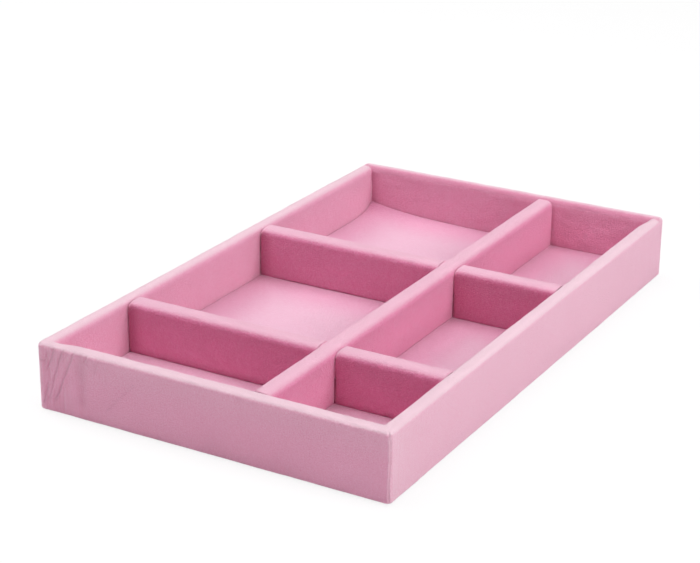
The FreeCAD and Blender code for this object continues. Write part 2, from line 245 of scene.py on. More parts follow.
def velvet_material(name, base, pale):
    """Short-pile polyester velvet, dyed pink and stroked by hand.

    The pile stands up and catches light at a flat angle, so rounded edges turn pale. On top of that, light
    and
    shade are painted into its colour: where the piece's edge attribute is high it is mixed raggedly towards a
    pale colour, a painted sheen on tops and rims and painted light on the floor, and where the piece asks for
    painted shade it is mixed towards a darker colour, in creases, corners, joins and along feet. Up close it
    has a felty grain of tufts and short slanting strokes, and longer streaks where the piece's brush
    attribute is high.
    """
    material, tree, shader, place = start_material(
        name, Roughness=0.95, Specular_IOR_Level=0.1, Sheen_Weight=1.0, Sheen_Roughness=0.45,
        Sheen_Tint=linear("#FBE3EC"))
    # Real tufts are too fine to show at the picture's size, so the grain is drawn coarser than they are.
    tuft, patch, tuft_depth = 0.75, 24.0, 0.75
    grain = noise_pattern(tree, place, tuft, Detail=3.0, Roughness=0.8)
    patches = noise_pattern(tree, place, patch, Detail=2.0, Roughness=0.5)
    patch_share, grain_share, lowest_tone = 0.16, 0.9, 0.07
    tone = maths(tree, "MULTIPLY_ADD", patches, patch_share, lowest_tone)
    tone = maths(tree, "MULTIPLY_ADD", grain, grain_share, tone)
    # Strokes: width and length in millimetres, slant in degrees, and weight.
    short_strokes = (0.9, 2.0, 14.0, 0.2)
    long_streaks = (1.3, 18.0, 7.0, attribute(tree, "brush"))
    for wide, long, slant, weight in (short_strokes, long_streaks):
        turn, stretch = (0.0, math.radians(slant), 0.0), (1 / wide, 1 / wide, 1 / long)
        along = add_node(tree, "ShaderNodeMapping", {"Vector": place, "Rotation": turn, "Scale": stretch})
        strokes = noise_pattern(tree, along.outputs[0], 1.0, Detail=2.0, Roughness=0.6)
        tone = maths(tree, "MULTIPLY_ADD", maths(tree, "SUBTRACT", strokes, 0.5), weight, tone)
    # From the random tone of the pile to a darker colour of painted shade, and from there, raggedly, to a
    # pale colour of painted sheen and painted light.
    deep, light = shaded(dyed(base, 0.45), 0.92), shaded(dyed(base, -0.45), 1.04)
    # roots is the darker colour of painted shade, and parted the colour with painted shade mixed in.
    roots = shaded(dyed(base, 0.5), 0.7)
    pile = mixed_colour(tree, map_range(tree, tone, 0.25, 0.95), deep, light)
    parted = mixed_colour(tree, attribute(tree, "painted_shade"), pile, roots)
    raggedness, most_painted_pale = 0.6, 0.75
    ragged = maths(tree, "MULTIPLY_ADD", grain, raggedness, attribute(tree, "edge"))
    painted_pale = mixed_colour(tree, map_range(tree, ragged, 0.36, 1.2, high=most_painted_pale), parted, pale)
    tree.links.new(painted_pale, shader.inputs["Base Color"])
    raise_grain(tree, shader, tone, 1.0, tuft_depth)
    return material


def fibre_material(name, base):
    """Single velvet fibres, thin enough to let light through, so they look paler than the cloth."""
    material, tree, shader, place = start_material(
        name, Roughness=0.8, Specular_IOR_Level=0.2, Sheen_Weight=0.3)
    tuft = 2.0
    shade = noise_pattern(tree, place, tuft, Detail=1.0)
    mixed = mixed_colour(tree, shade, shaded(base, 0.95), shaded(base, 1.2))
    tree.links.new(mixed, shader.inputs["Base Color"])
    return material


def felt_material(name, base):
    """Thin felt pressed from loose fibres: matt, with short curled fibres in slightly different shades."""
    material, tree, shader, place = start_material(
        name, Roughness=0.95, Specular_IOR_Level=0.15, Sheen_Weight=0.2)
    curl, curl_depth = 1.6, 0.15
    curled = noise_pattern(tree, place, curl, Detail=5.0, Roughness=0.7, Distortion=1.5)
    mixed = mixed_colour(tree, curled, shaded(base, 0.8), shaded(base, 1.15))
    tree.links.new(mixed, shader.inputs["Base Color"])
    raise_grain(tree, shader, curled, 0.6, curl_depth)
    return material


def board_material(name, base, fibre_size, contrast):
    """Pressed board, sawn and left raw: dull, with short pressed fibres and a few dark flecks."""
    material, tree, shader, place = start_material(name, Roughness=0.85, Specular_IOR_Level=0.25)
    fibres = noise_pattern(tree, place, fibre_size, Detail=4.0, Roughness=0.65, Distortion=0.6)
    fleck_size, fibre_depth = 2.5 * fibre_size, 0.1
    flecks = add_node(tree, "ShaderNodeTexVoronoi", {"Vector": place, "Scale": 1 / (fleck_size * MM)})
    dark = map_range(tree, flecks.outputs["Distance"], 0.05, 0.22, -contrast, 0.0)
    tone = maths(tree, "ADD", fibres, dark, use_clamp=True)
    mixed = mixed_colour(tree, tone, shaded(base, 1 - contrast), shaded(base, 1 + contrast))
    tree.links.new(mixed, shader.inputs["Base Color"])
    raise_grain(tree, shader, fibres, 0.4, fibre_depth)
    return material


def wire_material(name, base):
    """Bright drawn steel wire, with fine scratches from the drawing die."""
    material, tree, shader, place = start_material(name, Metallic=1.0)
    scratch, smoothest, roughest = 0.3, 0.25, 0.45
    scratches = noise_pattern(tree, place, scratch, Detail=2.0)
    mixed = mixed_colour(tree, scratches, shaded(base, 0.85), base)
    tree.links.new(mixed, shader.inputs["Base Color"])
    tree.links.new(map_range(tree, scratches, 0.0, 1.0, smoothest, roughest), shader.inputs["Roughness"])
    return material


# Meshes


def add_object(name, points, faces, attributes=None):
    """An object at the origin, with points in millimetres and one value per point for each attribute."""
    mesh = bpy.data.meshes.new(name)
    mesh.from_pydata((np.asarray(points) * MM).tolist(), [], [list(f) for f in faces])
    for key, values in (attributes or {}).items():
        mesh.attributes.new(key, "FLOAT", "POINT").data.foreach_set("value", np.asarray(values, np.float32))
    mesh.shade_smooth()
    mesh.validate()
    made = bpy.data.objects.new(name, mesh)
    bpy.context.scene.collection.objects.link(made)
    return made


def bake(made):
    """Puts the result of an object's modifiers into a plain mesh and removes them."""
    bpy.context.view_layer.update()
    graph = bpy.context.evaluated_depsgraph_get()
    mesh = bpy.data.meshes.new_from_object(made.evaluated_get(graph), depsgraph=graph)
    made.modifiers.clear()
    mesh.name = made.name
    made.data = mesh
    return made


def thicken(made, velvet):
    """Gives an open surface most of the velvet's thickness on its inner side, where no loose fibres grow."""
    clear_share = 0.9
    count = len(made.data.vertices)
    wall = made.modifiers.new("Velvet thickness", "SOLIDIFY")
    wall.thickness = velvet * clear_share * MM
    wall.offset = -1.0
    bake(made)
    values = np.zeros(len(made.data.vertices), np.float32)
    made.data.attributes["edge"].data.foreach_get("value", values)
    values[count:] = 0.0
    made.data.attributes["edge"].data.foreach_set("value", values)
    return made


def finish_piece(made, material, body, slot, *nodes):
    """Gives a piece its material, attaches it to the body that it rides on, and hides the imported parts that
    it stands for.
    """
    made.data.materials.clear()
    made.data.materials.append(material)
    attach(made, body)
    if nodes:
        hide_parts(*nodes)
    return made


def lumps(points, lump_size, seed):
    """Smooth noise from about -1 to 1 at each point, with lumps of the given size."""
    shift = Vector((13.7, 5.1, 8.3)) * seed
    flat = np.asarray(points).reshape(-1, 3) / lump_size
    values = np.array([noise.noise(Vector(p) + shift) for p in flat.tolist()])
    return values.reshape(np.shape(points)[:-1])


def path_distance(u, v, path):
    """Distance in a plane from each point to a path of straight runs."""
    nearest = np.full(np.shape(u), np.inf)
    for (u0, v0), (u1, v1) in zip(path, path[1:]):
        du, dv = u1 - u0, v1 - v0
        t = np.clip(((u - u0) * du + (v - v0) * dv) / (du * du + dv * dv), 0.0, 1.0)
        nearest = np.minimum(nearest, np.hypot(u - u0 - t * du, v - v0 - t * dv))
    return nearest


def bell(distance, width):
    """A smooth hump of height 1 that fades over the given width."""
    return np.exp(-(distance / width) ** 2)


def ramp(value, start, end):
    """Smooth rise from 0 at start to 1 at end."""
    t = np.clip((value - start) / (end - start), 0.0, 1.0)
    return t * t * (3 - 2 * t)


# Wall velvet: one strip round the walls, over the rim and under the base

# Creases in the front face beside its left corner: points right of the middle and above the floor, width,
# depth, and how much painted shade darkens the crease.
FRONT_CREASES = (
    (((-83.9, 29.5), (-85.3, 23.5)), 0.62, 0.24, 0.19),
    (((-87.9, 24.8), (-84.6, 25.0)), 0.40, 0.30, 0.37),
    (((-80.3, 31.4), (-82.0, 26.2), (-84.5, 20.9)), 0.48, 0.30, 0.29),
    (((-74.7, 32.6), (-77.5, 26.8), (-79.9, 19.2), (-82.6, 10.1), (-84.0, 7.0)), 0.48, 0.33, 0.29),
    (((-69.1, 32.1), (-73.1, 23.5), (-76.6, 15.7), (-79.3, 8.8), (-81.2, 6.8)), 0.53, 0.33, 0.29),
    (((-79.0, 13.3), (-81.1, 8.7)), 0.44, 0.15, 0.13),
    (((-83.9, 14.9), (-85.8, 8.3), (-86.8, 4.5)), 0.44, 0.30, 0.32),
    (((-61.6, 32.9), (-63.4, 29.2)), 0.53, 0.33, 0.37),
    (((-62.5, 29.5), (-61.0, 27.4), (-58.4, 28.8)), 0.44, 0.13, 0.11),
    (((-56.3, 32.2), (-58.0, 28.8)), 0.40, 0.19, 0.21),
    (((-52.9, 33.0), (-56.2, 29.9), (-57.8, 25.0)), 0.40, 0.19, 0.17),
    (((-65.0, 29.5), (-65.6, 9.0)), 3.4, 0.34, 0.34),
    (((-36.7, 24.4), (-44.7, 16.2), (-52.4, 8.0)), 0.42, 0.24, 0.28),
)
# Where a narrow fold on the inside of the left wall ends, just before the rear corner.
FOLD_END = 143.6


def spread(length, step, first=(0.0, 1.0), last=(0.0, 1.0)):
    """Places from -1 to 1 along a side, with closer steps over a first and a last stretch."""
    runs = [
        (0.0, first[0], first[1]),
        (first[0], length - last[0], step),
        (length - last[0], length, last[1]),
    ]
    places = [np.linspace(a, b, max(2, round((b - a) / s) + 1))[:-1] for a, b, s in runs if b > a]
    return np.append(np.concatenate(places), length) / length * 2 - 1


def strip_columns(s):
    """Columns of the strip from its end on the right wall round to its end on the front wall.

    Each row of the result gives how far the corner centre counts in x and y, and the outward direction.
    """
    width, depth = WALL_HIGH[:2] - WALL_LOW[:2] - 2 * s.corner_round
    half_gap = math.degrees(s.seam_gap / 2 / s.corner_round)
    arc_steps = 9
    # Columns stand closer together where creases and the seam need them.
    columns = []

    def corner(cx, cy, start, end, ends=(1, -1)):
        for angle in np.radians(np.linspace(start, end, arc_steps)[slice(ends[0], ends[1] or None)]):
            columns.append((cx, cy, math.cos(angle), math.sin(angle)))

    corner(1, -1, -45 + half_gap, 0, (0, -1))
    columns += [(1, u, 1, 0) for u in spread(depth, 1.3, first=(14.0, 0.6))]
    corner(1, 1, 0, 90)
    columns += [(-u, 1, 0, 1) for u in spread(width, 1.5)]
    corner(-1, 1, 90, 180)
    columns += [(-1, -u, -1, 0) for u in spread(depth, 1.6, first=(8.0, 0.6))]
    corner(-1, -1, 180, 270)
    columns += [(u, -1, 0, -1) for u in spread(width, 0.95, first=(32.0, 0.36), last=(8.0, 0.4))]
    corner(1, -1, 270, 315 - half_gap, (1, 0))
    return np.array(columns)


def strip_rows(s, inner):
    """Rows of the strip's cross section, from its edge in the tray over the rim to its edge under the base.

    Each row gives the distance in from the outer face, the height, and the outward and upward parts of the
    normal. Inner is the radius over the inner edge of the rim.
    """
    low, top = WALL_LOW[2], WALL_HIGH[2]
    thick = WALL_HIGH[0] - INNER_FACE + s.velvet
    r, f = s.rim_round, s.foot_round
    quarter_rows, pad_rows, inside_rows, flat_rows, outside_rows, under_rows = 8, 3, 20, 4, 44, 4
    quarter = np.radians(np.linspace(0, 90, quarter_rows))
    sine, cosine = np.sin(quarter), np.cos(quarter)
    none, one = np.zeros, np.ones
    inside = np.concatenate([np.linspace(BASE_TOP, FLOOR_HIGH[2], pad_rows)[:-1],
                             np.linspace(FLOOR_HIGH[2], top - inner, inside_rows)[:-1]])
    outside = np.linspace(top - r, low + f, outside_rows)[1:-1]
    flat = np.linspace(thick - inner, r, flat_rows)[1:-1]
    under = np.linspace(f, s.turn_in, under_rows)[1:]
    parts = (
        (np.full(len(inside), thick), inside, -one(len(inside)), none(len(inside))),
        (thick - inner + inner * cosine, top - inner + inner * sine, -cosine, sine),
        (flat, np.full(len(flat), top), none(len(flat)), one(len(flat))),
        (r - r * cosine[::-1], top - r + r * sine[::-1], cosine[::-1], sine[::-1]),
        (none(len(outside)), outside, one(len(outside)), none(len(outside))),
        (f - f * cosine, low + f - f * sine, cosine, -sine),
        (under, np.full(len(under), low), none(len(under)), -one(len(under))),
    )
    return np.concatenate([np.stack(p, 1) for p in parts])


def strip_grid(s):
    """Points and outward normals of the strip: rows of the cross section by columns round the tray."""
    cx, cy, nx, ny = strip_columns(s).T
    # The velvet is drawn tighter over the front and right rims, and eases off towards their far corners.
    along_right = ramp(-cy * np.sign(nx), -0.98, -0.88)
    along_front = ramp(-cx * np.sign(ny), -0.96, -0.84)
    near = np.where(nx * nx > ny * ny, along_right, along_front) * ((nx > 0.5) | (ny < -0.5))
    soft, tight = strip_rows(s, s.rim_inner), strip_rows(s, s.rim_tight)
    inset, height, outward, upward = (
        soft[:, i:i + 1] * (1 - near) + tight[:, i:i + 1] * near for i in range(4))
    smallest_radius = 0.35
    radius = np.maximum(s.corner_round - inset, smallest_radius)
    half = (WALL_HIGH - WALL_LOW) / 2
    x = cx * (half[0] - inset - radius) + nx * radius
    y = cy * (half[1] - inset - radius) + ny * radius
    points = np.stack([x, y, height], -1)
    normals = np.stack([outward * nx, outward * ny, upward], -1)
    return points, normals


def wall_faces(points, normals):
    """How far each point is on the front, on the right side, and inside on the left and rear walls."""
    x, y = points[..., 0], points[..., 1]
    front = ramp(-normals[..., 1], 0.55, 0.9) * (y < -INNER_FACE)
    right = ramp(normals[..., 0], 0.7, 0.95) * (x > INNER_FACE)
    inner_left = ramp(normals[..., 0], 0.7, 0.95) * (x < 0)
    inner_rear = ramp(-normals[..., 1], 0.7, 0.95) * (y > 0)
    return front, right, inner_left, inner_rear


def fold_edge(z):
    """Where a narrow fold of velvet starts on the left wall, before the rear corner and wider below."""
    start_below, narrower_above = 140.2, 3.2
    return start_below + narrower_above * ramp(z, 8.0, 34.0)


def strip_relief(points, normals, s):
    """How far the strip stands out from its even form at each point."""
    x, y, z = np.moveaxis(points, -1, 0)
    front, right, inner_left, inner_rear = wall_faces(points, normals)
    nap = 1.1 * lumps(points, 16.0, 1) + 0.6 * lumps(points, 5.0, 2) + 0.35 * lumps(points, 2.6, 3)
    relief = s.nap * nap
    rim_waves = 0.16
    relief += rim_waves * ramp(normals[..., 2], 0.2, 0.9) * lumps(points, 11.0, 4)
    for path, width, depth, _ in FRONT_CREASES:
        away = path_distance(x, z, path)
        relief += front * depth * (0.5 * bell(away - 1.6 * width, width) - bell(away, width))
    # The velvet is pulled into upright ridges beside the front's left corner and beside the seam.
    upright_stretch = np.array((1.0, 1.0, 0.12))
    pulled = lumps(points * upright_stretch, 1.6, 5)
    corner_pull, seam_pull = 0.10, 0.08
    relief += front * corner_pull * ramp(-x, 62.0, 78.0) * pulled
    pore_depth, pore_level = 0.08, 0.4
    relief += front * pore_depth * (pore_level - np.abs(lumps(points, 3.4, 10)))
    relief += right * seam_pull * ramp(-y, 118.0, 140.0) * pulled
    left_waves, rear_waves = 0.10, 0.26
    relief += (left_waves * inner_left + rear_waves * inner_rear) * lumps(points, 3.8, 9)
    # The fold lies flatter near the floor, so that it stays clear of the pad.
    fold = ramp(y, fold_edge(z) - 0.5, fold_edge(z) + 0.4) * (y < FOLD_END)
    flat_fold, more_above = 0.15, 0.3
    relief += inner_left * fold * (flat_fold + more_above * ramp(z, 11.0, 15.0))
    return relief


def strip_painted_shade(points, normals):
    """How much painted shade each point gets, from 0 to 1."""
    x, y, z = np.moveaxis(points, -1, 0)
    front, right, inner_left, inner_rear = wall_faces(points, normals)
    # Painted shade along the edge of the fold on the left wall, and in each crease of the front.
    fold_shade, fold_width = 0.3, 0.6
    painted_shade = inner_left * fold_shade * bell(y - fold_edge(z), fold_width) * (y < FOLD_END)
    for path, width, _, shade in FRONT_CREASES:
        painted_shade = np.maximum(painted_shade, front * shade * bell(path_distance(x, z, path), 0.8 * width))
    # Painted shade on the left wall before each cross divider, and on both walls of the rear left corner.
    half_divider, cross_shade, cross_fade = 4.5, 0.5, 6.0
    for node in ("front_cross_velvet", "rear_cross_velvet"):
        before = node_box(node)[0][1] - y
        shade = cross_shade * np.exp(-np.maximum(before, 0.0) / cross_fade) * (before > -half_divider)
        painted_shade = np.maximum(painted_shade, inner_left * shade)
    rear_shade, rear_width, left_shade, left_fade = 0.75, 4.3, 0.45, 5.0
    painted_shade = np.maximum(painted_shade, inner_rear * rear_shade * bell(x + INNER_FACE, rear_width))
    painted_shade = np.maximum(painted_shade, inner_left * left_shade * np.exp((y - REAR_FACE) / left_fade))
    # A little painted shade over the whole right side.
    right_side_shade = 0.16
    return np.maximum(painted_shade, right_side_shade * right)


def strip_pile(points, normals, s, folded, parted):
    """How much painted sheen, brushing and painted shade the strip gets at each point."""
    x, y, z = np.moveaxis(points, -1, 0)
    upward = normals[..., 2]
    right = ramp(normals[..., 0], 0.3, 0.9) * (x > INNER_FACE)
    front = ramp(-normals[..., 1], 0.3, 0.9) * (y < -INNER_FACE)
    near_rim = ramp(z, 20.0, 31.0)
    near_seam = ramp(-y, 118.0, 148.0)
    # Over a rim a painted sheen rises between these upward parts of the normal, so that tops and rounded
    # edges are painted paler.
    outer = np.maximum(np.abs(x) - WALL_HIGH[0], np.abs(y) - WALL_HIGH[1]) > -s.rim_round
    near_rims = (x > INNER_FACE) | (y < -REAR_FACE)
    sheen_from = np.where(outer, np.where(near_rims, 0.25, 0.0), 0.3)
    sheen_to = np.where(outer, 0.93, 0.98)
    # The folded ridge at the seam gets a little painted highlight.
    fold_highlight = 0.2
    edge = ramp(upward, sheen_from, sheen_to) + fold_highlight * folded
    # On the inner half of the rear rim the painted sheen gives way to painted shade.
    over_rear = (y - REAR_FACE + s.velvet) / (WALL_HIGH[1] - REAR_FACE + s.velvet)
    rear_rim_shade = (over_rear > 0) * (1 - ramp(over_rear, 0.15, 0.75))
    # The whole right side is painted paler with sheen, more beside the seam, and the front more towards its
    # rim.
    right_sheen, seam_sheen, front_sheen = 0.37, 0.1, 0.2
    edge = edge * (1 - rear_rim_shade) + right * (right_sheen + seam_sheen * near_seam)
    edge += front * front_sheen * ramp(z, 10.0, 31.0)
    # The right side is brushed beside the seam, at its rear and below its rim, and the front at its left.
    seam_brush, rim_brush = 0.6, 0.5
    brush = right * np.maximum.reduce([seam_brush * near_seam, ramp(y, 110.0, 148.0), rim_brush * near_rim])
    brush = np.maximum(brush, front * ramp(-x, 58.0, 86.0))
    # Painted shade as well in the groove beside the seam and over the inner half of the rear rim.
    seam_shade, rear_rim_shade_share = 0.35, 0.7
    painted_shade = np.maximum(strip_painted_shade(points, normals), seam_shade * parted)
    painted_shade = np.maximum(painted_shade, rear_rim_shade_share * rear_rim_shade * ramp(upward, 0.05, 0.5))
    return {"edge": edge, "brush": brush, "painted_shade": painted_shade}


def strip_seam(points, normals, s):
    """The folded front end of the strip and the parted pile of the right end beside it, each from 0 to 1.

    The points near the seam are moved so that it strays a little from the corner.
    """
    step = np.linalg.norm(np.diff(points, axis=1), axis=-1)
    along = np.concatenate([np.zeros((len(points), 1)), np.cumsum(step, axis=1)], axis=1)
    left_over = along[:, -1:] - along
    top = WALL_HIGH[2]
    z = points[..., 2]
    outside = (points[..., 0] > INNER_FACE) & (points[..., 1] < -INNER_FACE) & (z > 1.0)
    upright = outside * ramp(-z, 1.0 - top, 4.0 - top)
    fold_middle, fold_width = 0.45, 0.36
    folded = upright * bell(left_over - fold_middle, fold_width)
    parted = upright * bell(along, fold_width)
    moved = np.maximum(bell(along, 2.0), bell(left_over, 2.0))
    stray = -s.seam_wander * np.sin(2 * math.pi * z / top) * upright * moved
    points[..., 0] -= stray * normals[..., 1]
    points[..., 1] += stray * normals[..., 0]
    return folded, parted


def shell_faces(row_count, column_count, kept):
    """Faces of a thin closed strip: a fine outer side, an inner side with the kept rows, and four edges."""
    outer = np.arange(row_count * column_count).reshape(row_count, column_count)
    inner = row_count * column_count + np.arange(len(kept) * column_count).reshape(len(kept), column_count)

    def quads(grid):
        return np.stack([grid[:-1, :-1], grid[1:, :-1], grid[1:, 1:], grid[:-1, 1:]], -1).reshape(-1, 4)

    faces = quads(outer).tolist()
    faces += quads(inner)[:, ::-1].tolist()
    first = np.stack([outer[0], inner[0]])
    last = np.stack([inner[-1], outer[-1]])
    faces += quads(first)[:, ::-1].tolist()
    faces += quads(last)[:, ::-1].tolist()
    for column, turn in ((0, 1), (-1, -1)):
        for k in range(len(kept) - 1):
            edge = list(outer[kept[k]:kept[k + 1] + 1, column]) + [inner[k + 1, column], inner[k, column]]
            faces.append([int(i) for i in edge[::turn]])
    return faces


class TRAY_OT_wall_velvet(bpy.types.Operator):
    """Wraps one strip of velvet round the walls, with its seam on the front right corner"""

    bl_idname = "jewelry_tray.wall_velvet"
    bl_label = "Wall velvet"

    def execute(self, context):
        s = sizes_in_mm(context)
        points, normals = strip_grid(s)
        folded, parted = strip_seam(points, normals, s)
        relief = strip_relief(points, normals, s) + s.seam_ridge * (folded - parted)
        shaped = points + normals * relief[..., None]
        row_count, column_count = points.shape[:2]
        kept_step = 6
        kept = sorted(set(range(0, row_count, kept_step)) | {row_count - 1})
        inner = (points - normals * s.velvet)[kept].reshape(-1, 3)
        every_point = np.concatenate([shaped.reshape(-1, 3), inner])
        pile = strip_pile(points, normals, s, folded, parted)
        hidden = np.zeros(len(inner))
        attributes = {key: np.append(values, hidden) for key, values in pile.items()}
        faces = shell_faces(row_count, column_count, kept)
        made = add_object("wall_velvet_strip", every_point, faces, attributes)
        colours = context.scene.tray_colours
        material = velvet_material("Wall velvet, short pile", colours.wall_velvet, colours.wall_sheen_colour)
        finish_piece(made, material, "tray", "wall_velvet", "wall_velvet")
        girth = np.linalg.norm(np.diff(strip_rows(s, s.rim_inner)[:, :2], axis=0), axis=1).sum()
        return {"FINISHED"}


# Blocks with rounded edges: the floor pad, the dividers and the lining


def grid_lines(edges, step):
    """Coordinates that hold every edge, even on the rounding beside it and about a step apart elsewhere.

    Edges are given with the radius of the rounding beside them.
    """
    rounding = 1 - np.tan(np.radians((45.0, 33.75, 22.5, 11.25)))
    places = sorted(edges)
    lines = []
    for a, b in zip(places, places[1:]):
        start, end = a + edges[a] * rounding, b - edges[b] * rounding
        count = max(1, round((b - a - edges[a] - edges[b]) / step))
        lines += [*start, *np.linspace(a + edges[a], b - edges[b], count + 1), *end[:0:-1]]
    return np.array(lines + [places[-1]])


def lattice_faces(filled):
    """Outward quads between filled and empty cells, as numbers of lattice points."""
    numbers = np.arange(np.prod(np.array(filled.shape) + 1)).reshape(np.array(filled.shape) + 1)
    quads = []
    for axis in range(3):
        change = np.diff(np.pad(filled, [(int(a == axis),) * 2 for a in range(3)]).astype(int), axis=axis)
        u, v = (axis + 1) % 3, (axis + 2) % 3
        for side, order in ((-1, ((0, 0), (1, 0), (1, 1), (0, 1))), (1, ((0, 0), (0, 1), (1, 1), (1, 0)))):
            cells = np.argwhere(change == side)
            corners = []
            for du, dv in order:
                at = cells.copy()
                at[:, u] += du
                at[:, v] += dv
                corners.append(numbers[tuple(at.T)])
            quads.append(np.stack(corners, 1))
    return np.concatenate(quads)


def rounded_blocks(blocks, step):
    """Points, normals and faces round blocks that may overlap, with every outward edge rounded.

    Each block is as long as it can be inside the whole. It is given by its lowest corner, its highest corner,
    and the radius of the rounding beside each of its low and each of its high faces.
    """
    blocks = [[np.array(part, float) for part in block] for block in blocks]
    lines = []
    for axis in range(3):
        edges = {float(b[i][axis]): float(b[i + 2][axis]) for b in blocks for i in (0, 1)}
        lines.append(grid_lines(edges, step))
    middles = np.stack(np.meshgrid(*[(n[1:] + n[:-1]) / 2 for n in lines], indexing="ij"), -1)
    filled = np.any([np.all((middles > b[0]) & (middles < b[1]), -1) for b in blocks], axis=0)
    used, faces = np.unique(lattice_faces(filled), return_inverse=True)
    places = np.unravel_index(used, [len(n) for n in lines])
    sharp = np.stack([n[i] for n, i in zip(lines, places)], 1)
    nearest = np.full(len(sharp), np.inf)
    points, normals = np.zeros_like(sharp), np.zeros_like(sharp)
    for low, high, low_round, high_round in blocks:
        core = np.clip(sharp, low + low_round, high - high_round)
        radius = np.where(sharp < core, low_round, high_round)
        out = (sharp - core) / radius
        away = np.linalg.norm(out, axis=1)
        closer = (away < nearest - 1e-9) & (away > 0)
        unit = out[closer] / away[closer, None]
        nearest[closer] = away[closer]
        points[closer] = core[closer] + radius[closer] * unit
        normals[closer] = unit / radius[closer]
    normals /= np.linalg.norm(normals, axis=1, keepdims=True)
    return points, normals, faces.reshape(-1, 4)


def leave_open(points, normals, faces, opening):
    """Leaves out the faces whose middles lie in the opening, and the points that only they used."""
    kept = faces[~opening(points[faces].mean(1))]
    used, kept = np.unique(kept, return_inverse=True)
    return points[used], normals[used], kept.reshape(-1, 4)


def floor_pile(x, y):
    """How much painted light and how much painted shade the floor gets at each point."""
    to_left, to_right = x - FLOOR_LOW[0], FLOOR_HIGH[0] - x
    to_front, to_rear = y - FLOOR_LOW[1], FLOOR_HIGH[1] - y
    clear = np.minimum.reduce([to_left, to_right, to_front, to_rear])
    dividers = (("long_divider_velvet", x, 0), ("front_cross_velvet", y, 1), ("rear_cross_velvet", y, 1))
    for node, place, axis in dividers:
        low, high = node_box(node)
        beside = np.abs(place - (low + high)[axis] / 2) - (high - low)[axis] / 2
        clear = np.minimum(clear, np.maximum(beside, 0.0))
    # Painted light, most in the open middle of each compartment, all over the front ones, and more in the
    # right ones.
    most_painted_light, front_painted_light, right_painted_light = 0.58, 0.26, 0.12
    to_front_cross = node_box("front_cross_velvet")[0][1] - y
    to_rear_cross = node_box("rear_cross_velvet")[0][1] - y
    to_long = x - node_box("long_divider_velvet")[1][0]
    painted_light = most_painted_light * ramp(clear, 1.0, 34.0)
    painted_light = np.maximum(painted_light, front_painted_light * ramp(to_front_cross, 0.0, 3.0))
    painted_light += right_painted_light * ramp(to_long, 8.0, 26.0) * ramp(to_right, 0.0, 8.0)
    # Painted shade beside the left wall, and in the rear left corner of all compartments
    # but the front left one.
    least_parted, more_parted, wall_fade = 0.12, 0.36, 15.0
    beside_left = least_parted + more_parted * ramp(to_rear_cross, -60.0, 0.0)
    painted_shade = np.exp(-to_left / wall_fade) * beside_left * (to_front_cross < 0)
    middle_shade, rear_shade, corner_fade = 0.9, 0.5, 14.0
    middle_corner = np.exp(-to_left / corner_fade - np.abs(to_rear_cross) / corner_fade)
    painted_shade += middle_shade * middle_corner * (to_rear_cross > 0)
    painted_shade += rear_shade * np.exp(-to_left / corner_fade - to_rear / corner_fade)
    # Painted shade in the rear left corner of each compartment to the right of the long divider.
    right_shade, fade_across, fade_along = 0.9, 10.0, 12.0
    for to_back in (to_front_cross, to_rear_cross, to_rear):
        in_corner = np.exp(-np.abs(to_long) / fade_across - np.abs(to_back) / fade_along)
        painted_shade += right_shade * in_corner * (to_long > 0) * (to_back > 0)
    return {"edge": painted_light, "brush": 0 * x, "painted_shade": painted_shade}


class TRAY_OT_floor_velvet(bpy.types.Operator):
    """Lays velvet over the floor pad, with one corner that has curled up"""

    bl_idname = "jewelry_tray.floor_velvet"
    bl_label = "Floor velvet"

    def execute(self, context):
        s = sizes_in_mm(context)
        even, step = (s.pad_round,) * 3, 1.25
        reach = np.array((s.pad_reach, s.pad_reach, 0.0))
        points, normals, faces = rounded_blocks([(FLOOR_LOW - reach, FLOOR_HIGH + reach, even, even)], step)
        skirt = FLOOR_LOW[2] + 0.01
        points, normals, faces = leave_open(points, normals, faces, lambda middle: middle[:, 2] < skirt)
        x, y, z = points.T
        upper = ramp(z, FLOOR_LOW[2] + 0.2, FLOOR_HIGH[2])
        nap = 0.6 * lumps(points, 12.0, 7) + 0.35 * lumps(points, 4.0, 8)
        lift = 0.1 * lumps(points, 55.0, 6) + s.nap * nap
        to_left, to_rear = x - FLOOR_LOW[0], FLOOR_HIGH[1] - y
        # The curl is steep in the corner and runs on along the rear wall as a low ledge.
        ledge_share = 0.35
        corner = np.exp(-to_left / 20.0 - to_rear / 5.5)
        ledge = ledge_share * np.exp(-to_left / 60.0 - to_rear / 9.0)
        points[:, 2] += upper * (lift + s.corner_curl * (corner + ledge))
        made = add_object("floor_velvet_sheet", points, faces, floor_pile(x, y))
        thicken(made, s.velvet)
        colours = context.scene.tray_colours
        material = velvet_material("Floor velvet, short pile", colours.floor_velvet, colours.floor_light_colour)
        finish_piece(made, material, "tray", "floor_velvet", "floor_velvet")
        return {"FINISHED"}


